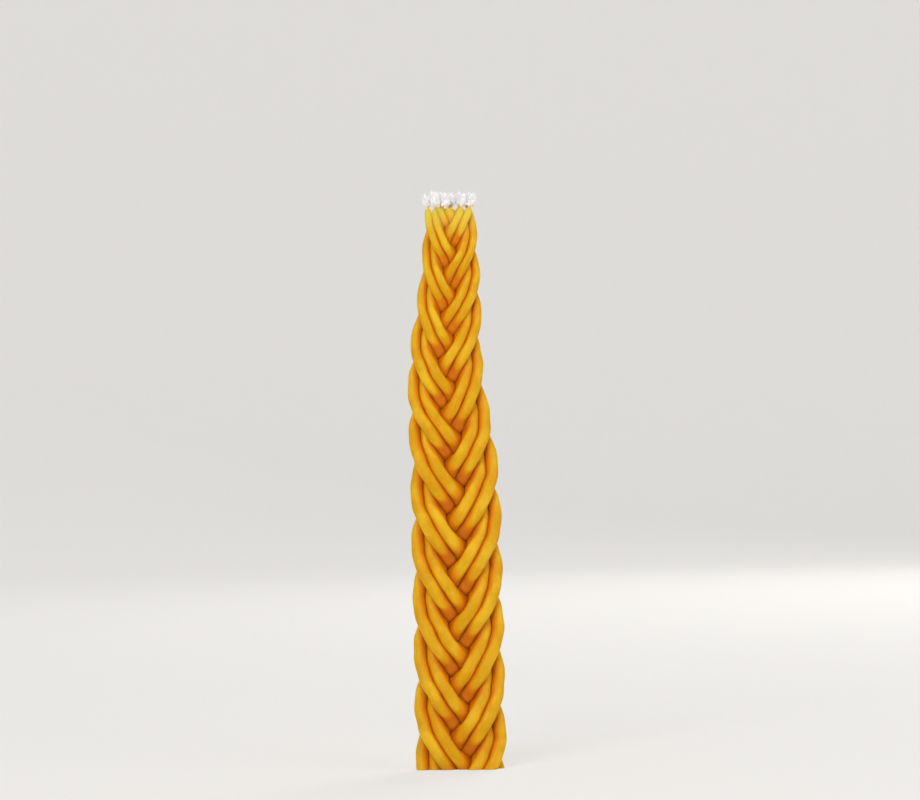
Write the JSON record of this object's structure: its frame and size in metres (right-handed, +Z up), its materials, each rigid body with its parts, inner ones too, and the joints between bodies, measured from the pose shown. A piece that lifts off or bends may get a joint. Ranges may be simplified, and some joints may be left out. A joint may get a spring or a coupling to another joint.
{
  "type": "havdalah candle",
  "caption": "Flat braided beeswax candle that tapers to its top, with a cotton wick in every strand, held upright in the hand and lit as one broad flame.",
  "frame": {"origin": "middle of the trimmed butt, on the plane that its strands are cut to", "axes": "+Z up the candle from the butt to the wicks, X across the broad face, -Y out of the front face"},
  "size_m": [0.0458, 0.0158, 0.289],
  "materials": {
    "beeswax": "hand-rolled honey-yellow beeswax, satin, slightly translucent",
    "cotton_wick": "plaited bleached cotton with a frayed, unburnt end"
  },
  "bodies": {
    "root": {"wax_strand_1a": "beeswax", "wax_strand_1b": "beeswax", "wax_strand_2a": "beeswax", "wax_strand_2b": "beeswax", "wax_strand_3a": "beeswax", "wax_strand_3b": "beeswax", "wax_strand_4a": "beeswax", "wax_strand_4b": "beeswax", "wax_strand_5a": "beeswax", "wax_strand_5b": "beeswax", "wick_1a": "cotton_wick", "wick_1b": "cotton_wick", "wick_2a": "cotton_wick", "wick_2b": "cotton_wick", "wick_3a": "cotton_wick", "wick_3b": "cotton_wick", "wick_4a": "cotton_wick", "wick_4b": "cotton_wick", "wick_5a": "cotton_wick", "wick_5b": "cotton_wick"}
  },
  "joints": []
}
